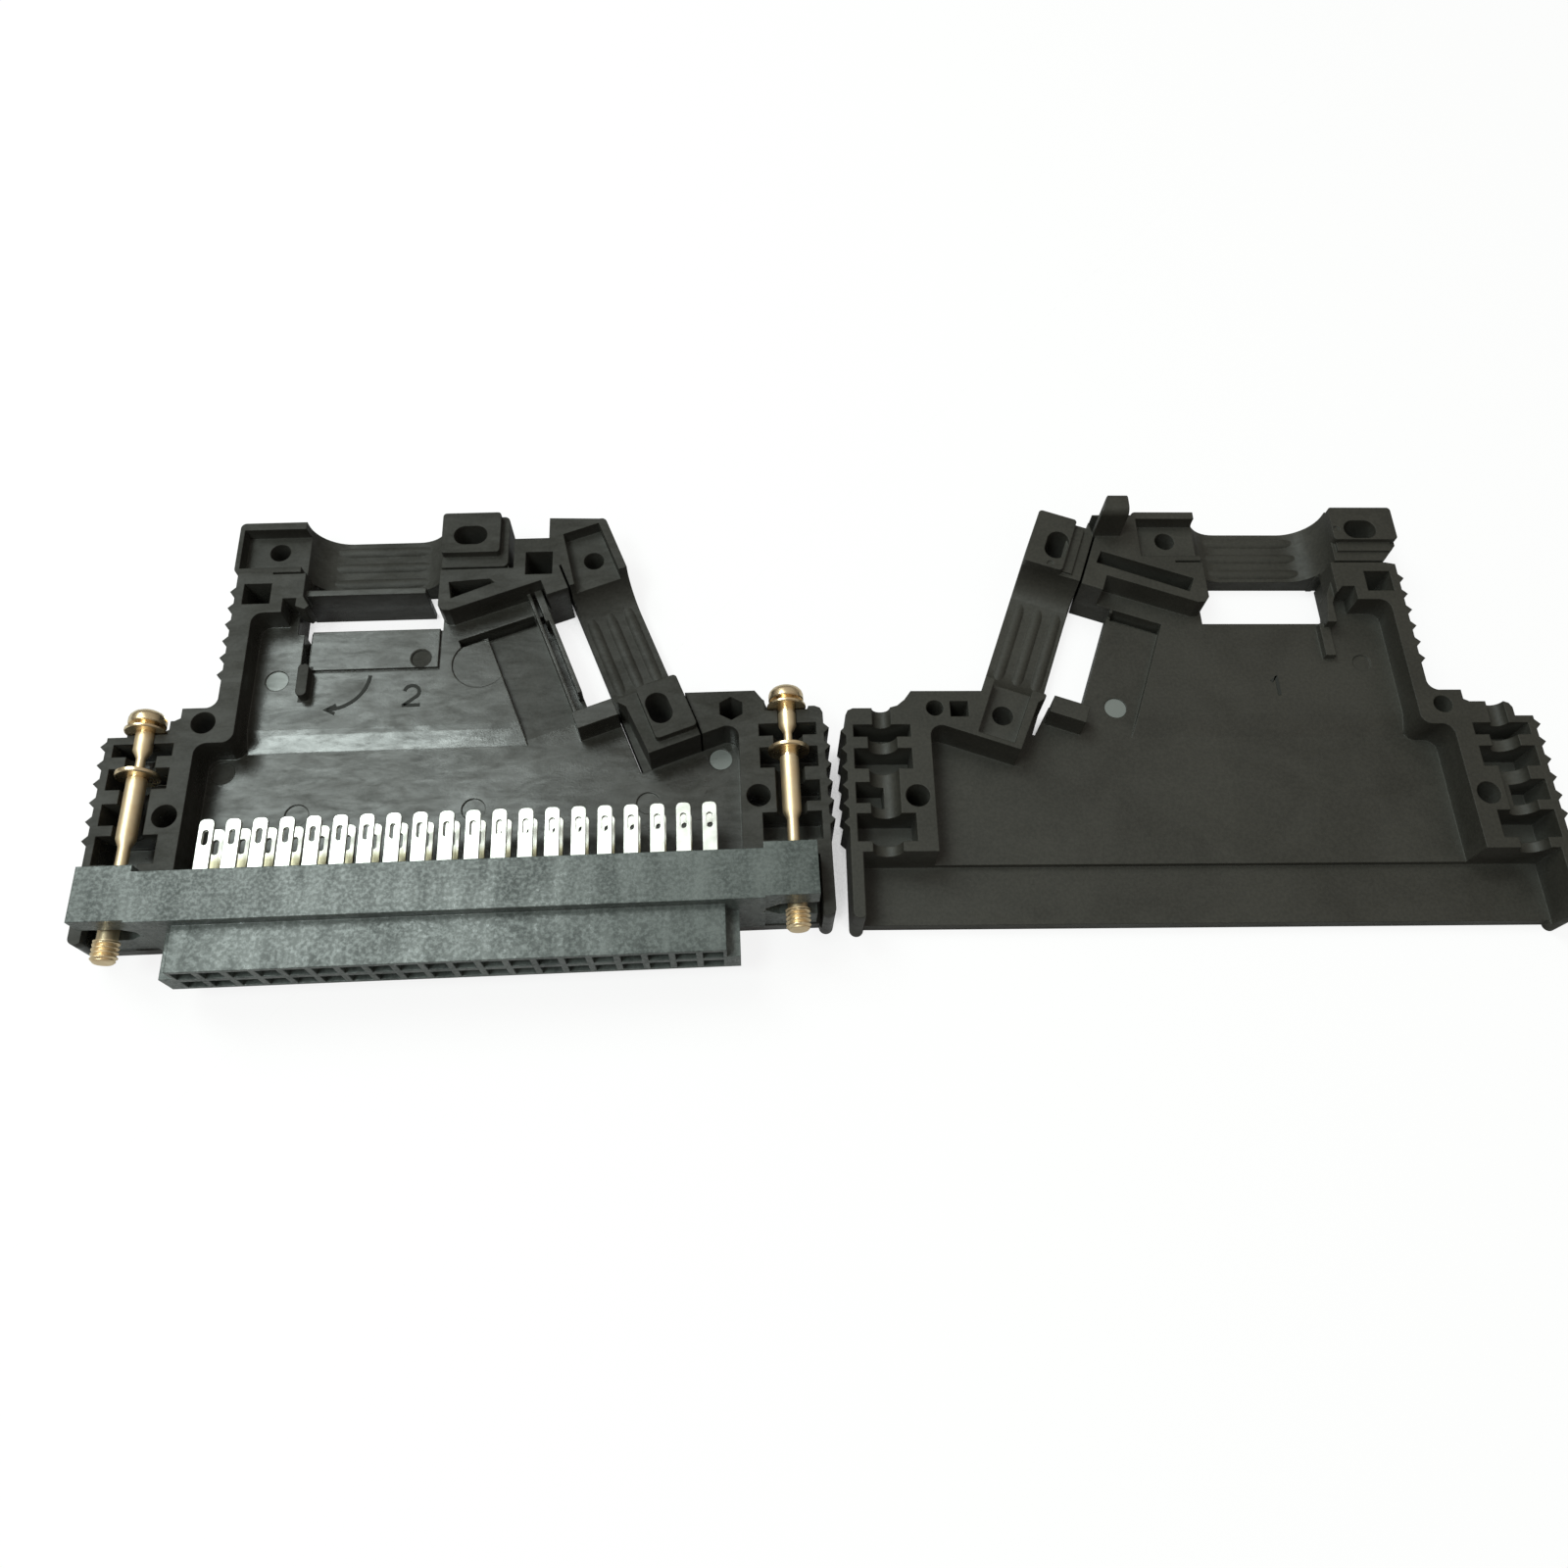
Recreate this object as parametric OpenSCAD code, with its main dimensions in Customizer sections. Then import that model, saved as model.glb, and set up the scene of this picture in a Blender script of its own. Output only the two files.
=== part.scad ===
// Connector for a programmable logic controller, hood opened, in millimetres.
// X runs along the contact rows, Y from the nose to the cable exits, Z up from the table.

/* [Hood] */
// Thickness of one hood half, from the table to the parting face
half_t = 6; // [5.5:0.1:8]
// Rear edge of the wide body behind the screw blocks
body_y = 22; // [21:0.1:26]
// How far the inner shoulders stand behind the wide body
shoulder_rise = 2; // [1.4:0.1:3]
// Distance from the plain side wall in to the shoulders
shoulder_in = 6.9; // [6.5:0.1:7.5]
// Distance from the plain side wall in to the neck's outer face
neck_in = 10.3; // [9.5:0.1:11.5]
// Radius of the corners inside the walls and beside the neck
corner_r = 1.2; // [0.4:0.1:1.6]
// Thickness of the base's neck wall
neck_wall = 2.1; // [1.2:0.1:2.6]
// Thickness of the cover's neck wall
cover_neck_wall = 1.6; // [1.2:0.1:2.6]
// Depth of the rear cavity below the parting face
rear_d = 3; // [2:0.1:3.8]
// Depth of the front cavity below the parting face
front_d = 3.9; // [3.2:0.1:4.5]
// Thickness of the side walls beside the insert
side_wall = 1.2; // [0.8:0.1:1.6]
// Width of the slots that free the clamp bars
slot_w = 0.25; // [0.2:0.05:0.6]
// Number of grip teeth on each side
tooth_n = 6; // [3:1:8]
// Spacing of the grip teeth
tooth_pitch = 2.03; // [1.5:0.01:2.1]
// Height of the grip teeth
tooth_h = 0.55; // [0.2:0.05:0.7]
// Depth of the ejector marks
mark_d = 0.15; // [0.05:0.05:0.3]
// Radius of the ejector marks
mark_r = 1.2; // [0.8:0.1:1.3]

/* [Cable exits] */
// Distance of the straight exit's clamp holes from the front edge
exit_y = 44; // [42:0.1:50]
// Distance from the neck's outer face to the first clamp hole
exit_inset = 3.5; // [3:0.1:4]
// Distance from the shoulder in to the slanted exit's first clamp hole
slant_in = 17; // [16:0.1:18]
// How far the slanted exit's first clamp hole lies in front of the straight exit's
slant_drop = 2.2; // [1:0.1:3]
// Slant of the second exit
slant = 70; // [66:1:74]
// Distance between the two clamp holes of a bar
exit_span = 21.2; // [20:0.1:22]
// Distance from a clamp hole to the outer edge of its bar
exit_out = 2.85; // [2.4:0.05:3.6]
// Distance from a clamp hole to the inner edge of its bar
exit_in = 3.65; // [3.2:0.05:4.2]
// Distance from a clamp hole to the end of its bar
exit_end = 4; // [3.4:0.1:4.4]
// Width of the cable channel over a bar
cable_w = 15; // [13:0.5:16]
// Depth of the cable channel
cable_d = 4.3; // [3.4:0.1:4.8]
// Corner radius of the cable channel
cable_r = 3.8; // [1:0.1:4.2]
// Height of the cable ribs
rib_h = 0.3; // [0.1:0.05:0.6]
// Diameter of the round clamp holes
clamp_hole_d = 2.2; // [1.6:0.1:2.8]
// Depth of the clamp sockets
socket_d = 1.6; // [0.8:0.1:2.5]
// Rim left beside a socket along the inner edge of its bar
socket_rim = 0.6; // [0.3:0.05:0.9]
// Width of the sunk strip beside the slanted window
strip_w = 10.05; // [8:0.05:11]
// Height of the raised clamp pads
pad_h = 0.9; // [0.3:0.1:1.5]
// Distance from the inner edge of a bar to the base's pads
pad_in = 1.3; // [0.8:0.1:2.4]
// Distance from the inner edge of a bar to the cover's pads
cover_pad_in = 2.2; // [1.6:0.1:2.4]
// Height of the cover's locating peg above the parting face
peg_h = 4.4; // [3:0.1:5.5]

/* [Screw blocks] */
// Distance from the last contact out to its jackscrew
screw_off = 8.17; // [8.1:0.01:14]
// Distance from a jackscrew out to the plain side wall
screw_side = 3.7; // [3.6:0.1:5]
// Distance from a jackscrew in to the inner face of its block
screw_in = 5; // [4.6:0.1:5]
// Width of the cross pockets
pocket_w = 5.9; // [4.4:0.1:6]
// Depth of the cross pockets
pocket_d = 4; // [2.4:0.1:4.6]
// Radius of the half-round screw channel
trough_r = 1.5; // [1.3:0.05:2]
// Running clearance of the screws on the radius
run = 0.05; // [0.02:0.01:0.1]
// Diameter of the locating holes
blind_d = 2.45; // [1.8:0.05:2.6]

/* [Insert] */
// Contacts in one row
ways = 20; // [8:1:20]
// Contact pitch
pitch = 2.54; // [2.3:0.01:2.54]
// Distance between the two rows
row_gap = 2.54; // [2.3:0.01:2.8]
// Height of the flange above the parting face
flange_up = 4; // [3.4:0.1:4.4]
// Depth of the flange below the parting face
flange_down = 4.6; // [4.5:0.1:5]
// Depth of the middle flange along Y
flange_d = 4.95; // [4:0.05:5.4]
// Depth of the ears along Y
ear_d = 5.4; // [5.1:0.05:6]
// Length of an ear along X
ear_w = 5.1; // [4.6:0.1:5.6]
// Clearance between the ears and the walls of their seat
seat_gap = 0.5; // [0.1:0.05:0.7]
// Clearance of the ears along Y in their seat
seat_play = 0.1; // [0.05:0.05:0.3]
// Extra depth of the cover's seat along Y
cover_seat = 0.5; // [0:0.1:1]
// Length of the nose along Y
nose_l = 4.5; // [3.5:0.1:9]
// Height of the nose above the parting face
nose_up = 2.7; // [2.5:0.1:3.2]
// Depth of the nose below the parting face
nose_down = 2.6; // [2.5:0.1:3.2]
// Wall between the last opening and the end of the nose
nose_wall = 1.6; // [1.5:0.1:1.8]
// Step at the ends of the nose between its lower and upper part
nose_step = 1.3; // [0.5:0.1:1.4]

/* [Contacts] */
// Width of the solder tabs
tab_w = 1.4; // [1.2:0.05:1.9]
// Length of the solder tabs behind the flange
tab_l = 6.1; // [4:0.1:7]
// Thickness of the contact metal
metal_t = 0.4; // [0.2:0.05:0.6]
// Width of the stems inside the insert
stem_w = 1; // [0.6:0.05:1.1]
// Width of the solder holes
tab_hole = 0.6; // [0.3:0.05:0.7]

/* [Jackscrews] */
// Outside diameter of the threaded tip
tip_d = 2.4; // [2.2:0.1:2.8]
// How far the tip stands out in front of the hood
tip_out = 2.3; // [1.5:0.1:4]
// Diameter of the plain shank, which also turns in the ear
shank_d = 1.9; // [1.6:0.05:2]
// Diameter of the waist between tip and shank
waist_d = 1.2; // [0.8:0.05:1.4]
// Diameter of the collar
collar_d = 4.2; // [3:0.1:4.4]
// Thickness of the collar
collar_t = 0.5; // [0.4:0.05:0.9]
// Diameter of the head
head_d = 4; // [3.4:0.1:4.2]
// Height of the head
head_h = 2.4; // [1.8:0.1:3]
// How far the left screw lies behind its middle place
left_slide = -0.3; // [-0.5:0.1:0.2]
// How far the right screw lies behind its middle place
right_slide = 0.2; // [-0.5:0.1:0.2]

/* [Layout] */
// Gap between the base and the cover lying beside it
cover_gap = 1.6; // [1.6:0.1:40]
// Place of the cover's front edge along Y
cover_y = -1.6; // [-10:0.1:10]
// Turn of the cover on the table
cover_turn = -1.9; // [-3:0.1:0]
// Distance from the front edge back to the origin
datum_y = 12; // [0:0.5:20]

/* [Hidden] */
$fn = 20;
eps = 0.01;
big = 60;
row_half = (ways - 1) * pitch / 2;
wedge_min = 8.6;
neck_need = exit_inset + exit_span + exit_end + wedge_min;
side_need = (neck_need + neck_in + shoulder_in + slant_in) / 2;
side_x = max(row_half + screw_off + screw_side, side_need);
screw_x = side_x - screw_side;
neck_x = side_x - neck_in;
well_x = side_x - side_wall;
block_x = screw_x - screw_in;
shoulder_x = side_x - shoulder_in;
shoulder_y = body_y + shoulder_rise;
slant_x = shoulder_x - slant_in;
sill_y = shoulder_y - 4;
cover_x = 2 * side_x + cover_gap;
seat_z = half_t - flange_down;
flange_t = flange_up + flange_down;
seat_y = ear_d + 2 * seat_play;
front_z = half_t - front_d;
rear_z = half_t - rear_d;
cable_z = half_t - cable_d;
pocket_z = half_t - pocket_d;
blind_z = 1;
plate_t = 0.35;
exit_top = [exit_inset - neck_x, exit_y];
exit_slant = [slant_x, exit_y - slant_drop];
exit_mid = exit_span / 2;
chan_a = exit_mid - cable_w / 2;
chan_b = exit_mid + cable_w / 2;
bar_a = -exit_end;
bar_b = exit_span + exit_end;
edge = -exit_in;
top_edge = exit_y - exit_in;
wedge_base = exit_top[0] + bar_b + 0.6;
wedge_cover = exit_top[0] + bar_b - 1;
front_pocket = [seat_y + 1.6, seat_y + 4.6];
collar_pocket = [body_y - 6.9, body_y - 4.6];
rear_pocket = [body_y - 3.3, body_y - 1.9];
outer_pocket = [body_y - 10.7, body_y - 8.4];
hole_y = body_y - 9.9;
collar_y = collar_pocket[1] - collar_t - 0.4;
upper_d = shank_d - 0.1;
tip_rear = seat_play - 0.4;
rib_r = 0.8;
head_y = body_y - 0.5;
row_z = [half_t + row_gap / 2, half_t - row_gap / 2];
row_x0 = -row_half;
cell_w = pitch - 0.6;
cell_h = row_gap - 0.7;
nose_x = cell_w / 2 - row_x0 + nose_wall;
nose_top_x = nose_x - nose_step;
ear_x = well_x - seat_gap;
flange_x = ear_x - ear_w;
tab_y = flange_d - seat_play;
two_digits = [for (i = [1:ways]) i < 10 ? str("0", i) : str(i)];
upper_names = [for (d = two_digits) str("contact_upper_", d)];
lower_names = [for (d = two_digits) str("contact_lower_", d)];
fixed_names = ["base_hood", "cover_hood", "insert_body", "screw_left", "screw_right"];

// A point in the straight exit's frame: s along the bar, t outwards
function top_at(s, t) = exit_top + [s, t];

// A point in the slanted exit's frame
function slant_at(s, t) =
    exit_slant + [s * cos(slant) + t * sin(slant), t * cos(slant) - s * sin(slant)];

// Frame of the straight exit: origin at the first clamp hole, X towards the second
module at_top() {
    translate(exit_top)
        children();
}

// Frame of the slanted exit
module at_slant() {
    translate(exit_slant)
        rotate(-slant)
            children();
}

// Both exits
module at_exits() {
    at_top()
        children();
    at_slant()
        children();
}

// A rectangle given by its corners
module rect(x0, y0, x1, y1) {
    translate([x0, y0])
        square([x1 - x0, y1 - y0]);
}

// A rectangle with rounded corners
module round_rect(x0, y0, x1, y1, r) {
    rect(x0 + r, y0, x1 - r, y1);
    rect(x0, y0 + r, x1, y1 - r);
    for (x = [x0 + r, x1 - r], y = [y0 + r, y1 - r])
        translate([x, y])
            circle(r);
}

// A level block cut upward from z0
module cut_from(z0) {
    translate([0, 0, z0])
        linear_extrude(big)
            children();
}

// A block between two levels
module slab(z0, z1) {
    translate([0, 0, z0])
        linear_extrude(z1 - z0)
            children();
}

// An upright cutter right through the floor
module through() {
    translate([0, 0, -1])
        linear_extrude(big)
            children();
}

// Round ejector mark in a floor at z
module mark(x, y, z, r = mark_r) {
    translate([x, y, z - mark_d])
        cylinder(r = r, h = 1);
}

// Row of grip teeth along Y, pointing to -X, first tooth tip at y0
module teeth(x, y0) {
    for (i = [0:tooth_n - 1])
        translate([x, y0 - i * tooth_pitch])
            polygon([[-tooth_h, 0], [0.3, tooth_pitch * 0.42], [0.3, -tooth_pitch * 0.42]]);
}

// Plan of the wide body with its shoulders
module body_plan() {
    polygon([
        [-side_x, 0],
        [side_x, 0],
        [side_x, body_y - 0.8],
        [side_x - 0.25, body_y - 0.25],
        [side_x - 0.8, body_y],
        [side_x - 4.4, body_y],
        [side_x - 5.4, body_y + 0.3],
        [side_x - 6.2, body_y + 1],
        [shoulder_x, shoulder_y],
        [-shoulder_x, shoulder_y],
        [-shoulder_x, body_y + 0.9],
        [-shoulder_x - 0.6, body_y + 0.6],
        [-side_x + 2.7, body_y + 0.6],
        [-side_x + 2.2, body_y + 0.4],
        [-side_x + 1.9, body_y - 0.1],
        [-side_x + 1.9, body_y - 1.1],
        [-side_x, body_y - 1.1]
    ]);
}

// Hollow corner piece: fills the corner at x, y towards dx, dy with a radius
module corner(x, y, dx, dy) {
    translate([x, y])
        difference() {
            rect(min(0, dx * corner_r), min(0, dy * corner_r), max(0, dx * corner_r), max(0, dy * corner_r));
            translate([dx * corner_r, dy * corner_r])
                circle(corner_r);
        }
}

// Plan of the neck with the wedge between the exits
module neck_plan(wedge_x, wedge_t) {
    polygon([
        [-neck_x, sill_y - 2],
        [-neck_x, top_edge],
        [wedge_x, top_edge],
        [wedge_x, exit_y + wedge_t],
        [slant_x - 4.4, exit_y + wedge_t],
        slant_at(-2.5, edge + 0.5),
        slant_at(bar_b - 1, edge + 0.5),
        [slant_x + 5.9, sill_y - 5]
    ]);
}

// Plan of one clamp bar
module bar_plan() {
    round_rect(bar_a, edge, bar_b, exit_out, 0.6);
}

// Whole plan of a half
module hood_plan(wedge_x, wedge_t) {
    body_plan();
    neck_plan(wedge_x, wedge_t);
    at_exits()
        bar_plan();
    corner(eps - neck_x, shoulder_y - eps, -1, 1);
    teeth(-neck_x, top_edge - 2.35);
    teeth(-side_x, body_y - 2.1);
    mirror([1, 0])
        teeth(-side_x, body_y - 2.6);
}

// Front cavity, in plan
module front_plan(wall) {
    corner(eps + wall - neck_x, sill_y - eps, -1, 1);
    difference() {
        union() {
            rect(-block_x, seat_y - 1, block_x, sill_y - corner_r);
            rect(corner_r - block_x, seat_y - 1, block_x - corner_r, sill_y);
            for (x = [corner_r - block_x, block_x - corner_r])
                translate([x, sill_y - corner_r])
                    circle(corner_r);
        }
        at_slant()
            rect(bar_a, edge - slot_w / 2, bar_b, 12);
    }
}

// Rounded corner of the rear cavity beside the neck wall
function rear_corner(x, y) = [for (k = [0:6]) [
    x + corner_r - corner_r * cos(15 * k),
    y - corner_r + corner_r * sin(15 * k)
]];

// Rear cavity, in plan: open to both exits
module rear_plan(wall) {
    polygon(concat([
        [wall - neck_x, sill_y - 1]
    ], rear_corner(wall - neck_x, top_edge - 5.05), [
        top_at(chan_a - 1.5, edge - 5.05),
        top_at(chan_a - 1.5, edge - 3.35),
        top_at(chan_a - 0.1, edge - 3.35),
        top_at(chan_a + 0.6, edge - 4.15),
        top_at(chan_a + 0.6, edge),
        top_at(chan_b - 0.1, edge),
        top_at(chan_b - 0.1, edge - 4.75),
        top_at(chan_b + 0.4, edge - 5.35),
        slant_at(chan_a - 1.8, edge - strip_w - 2.8),
        slant_at(chan_a - 1.8, edge - 2.65),
        slant_at(chan_a + 0.5, edge - 2.65),
        slant_at(chan_a + 0.5, edge + 0.1),
        slant_at(chan_b + 0.1, edge + 0.1),
        slant_at(chan_b + 0.1, edge - slot_w * 0.7),
        slant_at(bar_b, edge - slot_w * 0.7),
        [slant_x - 2.1, sill_y - 1]
    ]));
}

// Sunk strip beside the slanted window, level with the front floor
module strip_plan() {
    at_slant()
        rect(chan_a + 0.7, edge - strip_w, big / 2, edge + 1);
}

// Sloped step between the two floor levels
module ramp_cut(wall) {
    translate([wall - neck_x, 0, 0])
        rotate([90, 0, 90])
            linear_extrude(neck_x - wall + slant_x)
                polygon([
                    [sill_y - 2, half_t],
                    [sill_y - 2, front_z],
                    [sill_y + 0.4, front_z],
                    [sill_y + 2.8, rear_z],
                    [sill_y + 2.8, half_t]
                ]);
}

// Profile of the cable channel, seen along it
module cable_profile() {
    translate([0, half_t + 5])
        square([cable_w, 10], center = true);
    translate([0, cable_z + cable_r + 5])
        square([cable_w, 10], center = true);
    translate([0, cable_z + cable_r])
        square([cable_w - 2 * cable_r, 2 * cable_r], center = true);
    for (x = [cable_r - cable_w / 2, cable_w / 2 - cable_r])
        translate([x, cable_z + cable_r])
            circle(cable_r);
}

// Cable channel over a bar, in the exit's frame, with its ribs left standing
module cable_cut() {
    difference() {
        translate([exit_mid, 10, 0])
            rotate([90, 0, 0])
                linear_extrude(10 - edge + 0.2)
                    cable_profile();
        for (t = [edge + 1.05, edge + 3.15, edge + 5.25])
            translate([exit_mid - (cable_w - cable_r) / 2, t, cable_z + rib_h - rib_r])
                rotate([0, 90, 0])
                    cylinder(r = rib_r, h = cable_w - cable_r);
    }
}

// Socket with a round clamp hole, in the exit's frame: end is -1 for the first hole, the rims lie inside it
module socket_cut(end, rim_end, rim_chan) {
    s = end < 0 ? 0 : exit_span;
    a = end < 0 ? bar_a + 0.5 : bar_b - 0.5;
    b = end < 0 ? chan_a + 0.2 : chan_b - 0.2;
    cut_from(half_t - socket_d)
        polygon([[a, edge + rim_end], [b, edge + rim_chan], [b, exit_out - 0.9], [a, exit_out - 0.9]]);
    translate([s, 0, -1])
        cylinder(d = clamp_hole_d, h = big);
}

// Raised pad with an oval clamp hole, in the exit's frame
module pad_plan(end, inset) {
    a = end < 0 ? bar_a : chan_b;
    b = end < 0 ? chan_a : bar_b - 0.8;
    round_rect(a, edge + inset, b, exit_out, 0.4);
}

// Oval clamp hole of a raised pad
module oval_plan(end) {
    s = end < 0 ? 0 : exit_span;
    translate([s, -0.1]) {
        square([1.2, clamp_hole_d + 0.2], center = true);
        for (x = [-0.6, 0.6])
            translate([x, 0])
                circle(d = clamp_hole_d + 0.2);
    }
}

// Slot that frees the padded end of a bar, and the short slot at the socket
module slots_plan(end) {
    a = end < 0 ? bar_a - 2 : chan_b - 0.3;
    b = end < 0 ? chan_a + 0.3 : bar_b;
    rect(a, edge - slot_w, b, edge);
    c = end < 0 ? chan_b - 0.3 : chan_a - 2.9;
    d = end < 0 ? chan_b + 2.9 : chan_a + 0.3;
    rect(c, edge - slot_w, d, edge);
}

// Cross pocket of a screw block, from one end to the other along Y
module pocket(side, span) {
    cut_from(pocket_z)
        rect(side * screw_x - pocket_w / 2, span[0], side * screw_x + pocket_w / 2, span[1]);
}

// Screw channel with its pockets: side is -1 on the left, 1 on the right
module screw_cut(side) {
    translate([side * screw_x, 0, half_t])
        rotate([-90, 0, 0]) {
            cylinder(r = trough_r, h = rear_pocket[1]);
            cylinder(d = upper_d + 2 * run, h = big);
        }
    pocket(side, front_pocket);
    pocket(side, collar_pocket);
    pocket(side, rear_pocket);
    cut_from(pocket_z)
        translate([side * screw_x, 0])
            rect(min(0, side * pocket_w / 2), outer_pocket[0], max(0, side * pocket_w / 2), outer_pocket[1]);
    translate([side * (block_x + 1.75), hole_y, blind_z])
        cylinder(d = blind_d, h = big);
}

// Room for a screw head at the rear of the base
module head_cut(side, slide) {
    translate([side * screw_x, head_y + slide - 0.08, half_t])
        rotate([-90, 0, 0])
            cylinder(d = head_d + 0.5, h = 10);
}

// Seat of the insert: a channel open at the front
module seat_cut(extra) {
    cut_from(seat_z)
        rect(-well_x, -5, well_x, seat_y + extra);
}

// Rounded ends of the side walls
module wall_ends() {
    for (x = [0.7 - side_x, side_x - 0.7])
        translate([x, 0, 0])
            cylinder(r = 0.7, h = half_t);
}

// Corner tab and guide rib beside the straight window of the base
module base_rib() {
    slab(rear_z + 0.05, half_t)
        polygon([
            top_at(chan_a - 0.1, edge - 3.15),
            top_at(chan_a - 0.1, edge - 4.35),
            top_at(chan_a + 0.9, edge - 4.75),
            top_at(chan_a + 1.3, edge - 4.35),
            top_at(chan_a + 0.6, edge - 3.15)
        ]);
    slab(1, rear_z + 1.3)
        at_top()
            round_rect(chan_a + 0.4, edge - strip_w - 4.2, chan_a + 1.5, edge - strip_w - 0.4, 0.5);
}

// Guide rib beside the straight window of the cover, in two steps
module cover_rib() {
    slab(rear_z + 0.05, half_t - 0.9)
        polygon([
            top_at(chan_a + 0.5, edge - 1.95),
            top_at(chan_a + 0.5, edge - 4.05),
            top_at(chan_a + 0.9, edge - 4.95),
            top_at(chan_a + 0.9, edge - 7.35),
            top_at(chan_a + 1.9, edge - 7.35),
            top_at(chan_a + 1.3, edge - 3.75)
        ]);
    slab(1, rear_z + 0.5)
        at_top()
            rect(chan_a + 1, edge - 7.3, chan_a + 1.8, edge - 6.5);
    slab(1, rear_z + 0.9)
        at_top()
            rect(chan_a + 1.2, edge - 10.85, chan_a + 2.3, edge - 6.85);
}

// Stop block at the lower end of the slanted window, with a gap to the bar
module stop_block(gap) {
    slab(0, half_t - 1)
        at_slant()
            rect(chan_b - 0.8, edge - 4.75, chan_b + 1.2, edge - gap);
}

// Narrower lower end of the slanted bar
module bar_trim() {
    cut_from(front_z + 0.03)
        at_slant()
            polygon([
                [chan_b + 0.2, edge - slot_w * 0.8],
                [chan_b + 1.2, edge + 0.6],
                [bar_b + 0.6, edge + 0.95],
                [bar_b + 0.6, edge - slot_w * 0.8]
            ]);
}

// Straight window, wider under the corner tab than above it
module top_window(win_top, win_in) {
    through()
        at_top()
            rect(chan_a + 0.9, edge - win_top, chan_b - 0.1, edge);
    slab(-1, rear_z + 0.02)
        at_top()
            rect(chan_a - win_in, edge - win_top, chan_a + 1, edge - 0.1);
}

// Parts that both halves share: end is the bar end with the raised pad
module hood_half(end, wedge_x, wedge_t, wall, win_top, win_slant, extra, gap, hole_d, inset) {
    difference() {
        union() {
            slab(0, half_t)
                hood_plan(wedge_x, wedge_t);
            wall_ends();
            slab(half_t - eps, half_t + pad_h)
                union() {
                    at_top()
                        pad_plan(end, inset);
                    at_slant()
                        pad_plan(end, end > 0 ? inset + 0.8 : inset);
                }
        }
        seat_cut(extra);
        cut_from(front_z)
            front_plan(wall);
        cut_from(rear_z)
            rear_plan(wall);
        cut_from(front_z)
            intersection() {
                rear_plan(wall);
                strip_plan();
            }
        ramp_cut(wall);
        at_exits()
            cable_cut();
        at_top()
            socket_cut(-end, socket_rim, socket_rim);
        at_slant()
            socket_cut(-end, socket_rim + (end > 0 ? 0.9 : 1.1), socket_rim + (end > 0 ? -0.1 : 0.9));
        bar_trim();
        through()
            at_exits() {
                oval_plan(end);
                slots_plan(end);
            }
        top_window(win_top, end > 0 ? 0.6 : 0.05);
        through()
            at_slant()
                rect(chan_a + 0.2, edge - win_slant, chan_b - 0.9, edge);
        cut_from(blind_z)
            at_slant()
                rect(chan_a + 0.25, edge - strip_w - (end > 0 ? 3 : 0), chan_a + 1.1, edge - 4.6);
        screw_cut(-1);
        screw_cut(1);
        through()
            translate([2.3 - shoulder_x, shoulder_y - 1.7])
                circle(d = hole_d);
        cut_from(blind_z)
            at_top()
                rect(-2.65, edge - 3.95, 0.25, edge - 1.4);
    }
    stop_block(gap);
}

// Raised parts of the base: blanking wall, ridges beside the slanted window, plate
module base_raised() {
    base_rib();
    slab(0, half_t - 0.8)
        at_top()
            rect(chan_a + 0.1, edge - 2.65, chan_b - 1.7, edge - 1.95);
    slab(1, rear_z + 1.2)
        at_slant()
            union() {
                rect(chan_a - 1.9, edge - 3.7, chan_a + 2.2, edge - 2.9);
                rect(chan_a + 2, edge - 3.35, chan_b - 3.2, edge - 2.9);
                rect(chan_a - 1.9, edge - 4.5, chan_b - 0.7, edge - 4.15);
            }
    slab(1, rear_z + plate_t)
        at_top()
            rect(chan_a + 1.15, edge - strip_w - 0.7, chan_b - 0.3, edge - 6.05);
}

// Square corner at the upper end of the base's slanted bar
module bar_corner() {
    slab(0, half_t)
        polygon([
            [slant_x - 4.75, exit_y - 1],
            [slant_x - 4.75, exit_y + 2.55],
            slant_at(bar_a, exit_out - 0.6),
            slant_at(bar_a + 0.3, edge + 0.6)
        ]);
}

// Blind pockets and slots that only the base has
module base_pockets() {
    cut_from(blind_z)
        at_top()
            rect(chan_a + 0.15, edge - strip_w - 0.5, chan_a + 0.95, edge - 5.95);
    through()
        rect(wedge_base - 0.5, top_edge - slot_w, wedge_base, exit_y + 4);
    through()
        at_slant()
            rect(chan_b + 0.5, exit_out, bar_b, exit_out + slot_w);
    cut_from(blind_z)
        polygon([
            top_at(chan_b + 0.9, edge - 1.85),
            top_at(chan_b + 5.2, edge - 1.55),
            top_at(chan_b + 5.8, edge - 2.05),
            top_at(chan_b + 1.2, edge - 3.95)
        ]);
    cut_from(blind_z)
        at_top()
            rect(bar_b + 1.9, edge - 1.15, bar_b + 4.8, edge + 1.75);
    cut_from(blind_z)
        translate([shoulder_x - 2.5, shoulder_y - 2])
            rotate(30)
                circle(d = 2.7, $fn = 6);
}

// Ejector marks and shallow flats in the base's floors
module base_marks() {
    mark(1.5 - block_x, sill_y - 1.6, front_z);
    mark(block_x - 1.95, sill_y - 1.9, front_z);
    for (x = [-7 * pitch, 0, 7 * pitch])
        mark(x, seat_y + tab_l + 1.7, front_z);
    at_top() {
        mark(0.95, edge - 11.7, rear_z);
        mark(chan_b - 2.15, edge - 9.65, rear_z + plate_t, mark_r - 0.2);
    }
    cut_from(rear_z - mark_d)
        difference() {
            translate([slant_x - strip_w - 2.15, top_edge - strip_w - 0.25])
                circle(2.9);
            strip_plan();
        }
}

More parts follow.
